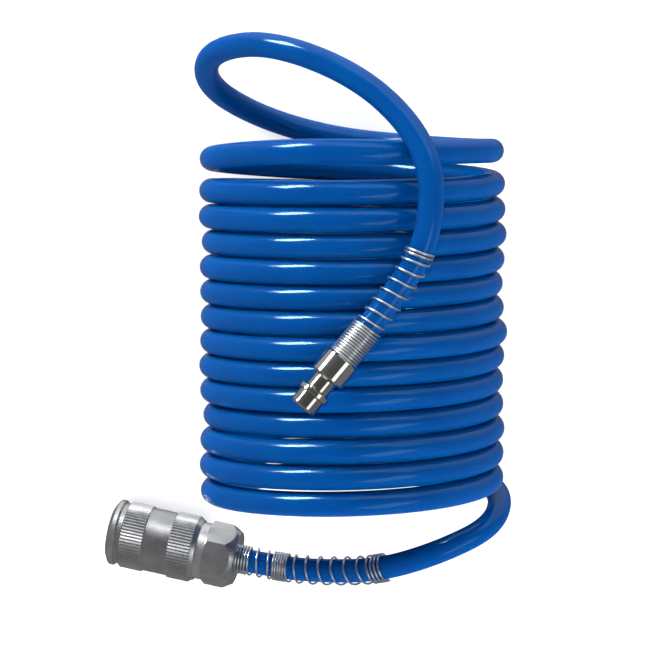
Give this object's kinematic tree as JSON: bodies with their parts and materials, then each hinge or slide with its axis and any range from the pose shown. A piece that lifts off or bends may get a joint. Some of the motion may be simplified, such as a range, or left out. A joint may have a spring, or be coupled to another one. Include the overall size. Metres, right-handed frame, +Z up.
{
  "type": "coiled air hose",
  "caption": "Coiled plastic air hose on its side, with a sleeve-locking quick coupler and a matching plug, each with a guard spring.",
  "frame": {"origin": "on the table under the middle of the coil, which lies on its side", "axes": "+Y along the coil's axis towards the loop and away from the coupler's end, +Z up, +X away from the coupler"},
  "size_m": [0.1569, 0.2141, 0.1297],
  "materials": {
    "hose": "glossy blue polyurethane",
    "spring_steel": "bright drawn wire",
    "coupler_metal": "satin zinc-nickel plate",
    "plug_metal": "polished nickel plate",
    "ball_steel": "polished",
    "seal_rubber": "matte",
    "valve_brass": "turned"
  },
  "bodies": {
    "hose_assembly": {"hose_coil": "hose", "hose_tail": "hose", "hose_loop": "hose", "coupler_guard_spring": "spring_steel", "plug_guard_spring": "spring_steel", "coupler_body": "coupler_metal", "sleeve_retaining_ring": "coupler_metal", "socket_seal": "seal_rubber", "adapter_seal": "seal_rubber", "sleeve_spring": "spring_steel", "valve_spring": "spring_steel", "rear_adapter": "coupler_metal", "plug_body": "plug_metal"},
    "sleeve": {"coupler_sleeve": "coupler_metal"},
    "ball_1": {"locking_ball_1": "ball_steel"},
    "ball_2": {"locking_ball_2": "ball_steel"},
    "ball_3": {"locking_ball_3": "ball_steel"},
    "ball_4": {"locking_ball_4": "ball_steel"},
    "valve": {"valve_poppet": "valve_brass", "valve_seal": "seal_rubber"}
  },
  "joints": [
    {"name": "sleeve_slide", "type": "slide", "parent": "hose_assembly", "child": "sleeve", "axis": [0.9688, -0.1848, 0.165], "range_m": [0, 0.003], "stiffness_N_per_m": 2000, "deforming": ["sleeve_spring"]},
    {"name": "ball_1_slide", "type": "slide", "parent": "hose_assembly", "child": "ball_1", "axis": [-0.0179, -0.7165, -0.6974], "range_m": [0, 0.00135]},
    {"name": "ball_2_slide", "type": "slide", "parent": "hose_assembly", "child": "ball_2", "axis": [0.2471, 0.6727, -0.6974], "range_m": [0, 0.00135]},
    {"name": "ball_3_slide", "type": "slide", "parent": "hose_assembly", "child": "ball_3", "axis": [0.0179, 0.7165, 0.6974], "range_m": [0, 0.00135]},
    {"name": "ball_4_slide", "type": "slide", "parent": "hose_assembly", "child": "ball_4", "axis": [-0.2471, -0.6727, 0.6974], "range_m": [0, 0.00135]},
    {"name": "valve_slide", "type": "slide", "parent": "hose_assembly", "child": "valve", "axis": [0.9688, -0.1848, 0.165], "range_m": [0, 0.0025], "stiffness_N_per_m": 1200, "deforming": ["valve_spring"]}
  ],
  "couplings": [
    {"joint": "ball_1_slide", "follows": "sleeve_slide", "ratio": 0.45},
    {"joint": "ball_2_slide", "follows": "sleeve_slide", "ratio": 0.45},
    {"joint": "ball_3_slide", "follows": "sleeve_slide", "ratio": 0.45},
    {"joint": "ball_4_slide", "follows": "sleeve_slide", "ratio": 0.45}
  ]
}
